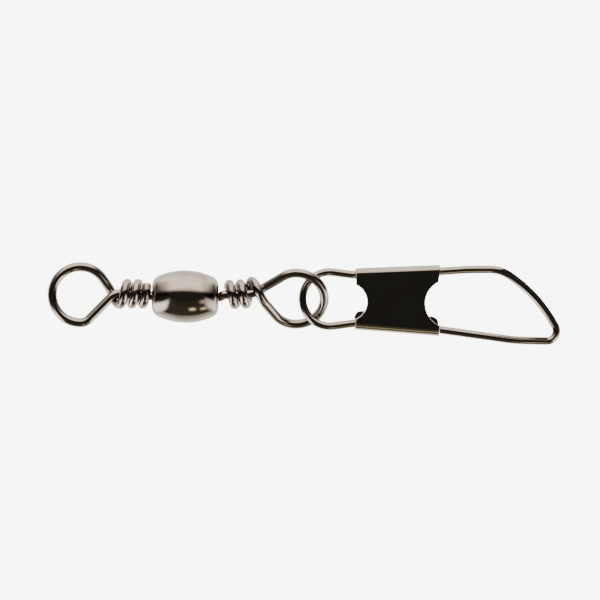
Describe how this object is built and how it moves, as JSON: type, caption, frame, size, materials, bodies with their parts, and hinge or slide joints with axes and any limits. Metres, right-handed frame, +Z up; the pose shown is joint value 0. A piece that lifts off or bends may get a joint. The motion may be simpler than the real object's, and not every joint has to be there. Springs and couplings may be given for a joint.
{
  "type": "fishing snap swivel",
  "caption": "Barrel swivel with wrapped wire eyes and a linked safety snap: the sprung wire arm unhooks from a folded sheet clasp to take a lure, in polished black nickel",
  "frame": {"origin": "centre of the line eye's round hole, on the swivel's axis", "axes": "+X along the swivel's axis from the line eye towards the snap, +Y across it to the side of the sprung arm, +Z up through the line eye's hole, away from the table the swivel lies on"},
  "size_m": [0.045, 0.0069, 0.0046],
  "materials": {
    "barrel_shell": "polished black nickel over brass, fine handling marks",
    "eye_wire": "polished black nickel on drawn wire",
    "spring_wire": "polished black nickel on spring wire",
    "clasp_sheet": "glossy black nickel on thin folded sheet, bright cut edges"
  },
  "bodies": {
    "barrel": {"barrel": "barrel_shell"},
    "line_eye": {"line_eye_wire": "eye_wire"},
    "snap_eye": {"snap_eye_wire": "eye_wire"},
    "snap": {"snap_wire": "spring_wire", "lock_clasp": "clasp_sheet"},
    "gate": {"gate_arm": "spring_wire"}
  },
  "joints": [
    {"name": "line_eye_spin", "type": "hinge", "parent": "barrel", "child": "line_eye", "pos_m": [0.00919, 0, 0], "axis": [1, 0, 0], "continuous": true},
    {"name": "snap_eye_spin", "type": "hinge", "parent": "barrel", "child": "snap_eye", "pos_m": [0.00919, 0, 0], "axis": [1, 0, 0], "continuous": true},
    {"name": "snap_swing", "type": "hinge", "parent": "snap_eye", "child": "snap", "pos_m": [0.02183, 0, -0.00014], "axis": [0.0976, 0.061, 0.9934], "range_deg": [-40, 40]},
    {"name": "gate_open", "type": "hinge", "parent": "snap", "child": "gate", "pos_m": [0.0415, -0.00182, -0.00196], "axis": [0.0732, -0.6626, 0.7454], "range_deg": [0, 25], "stiffness_Nm_per_rad": 0.25}
  ]
}
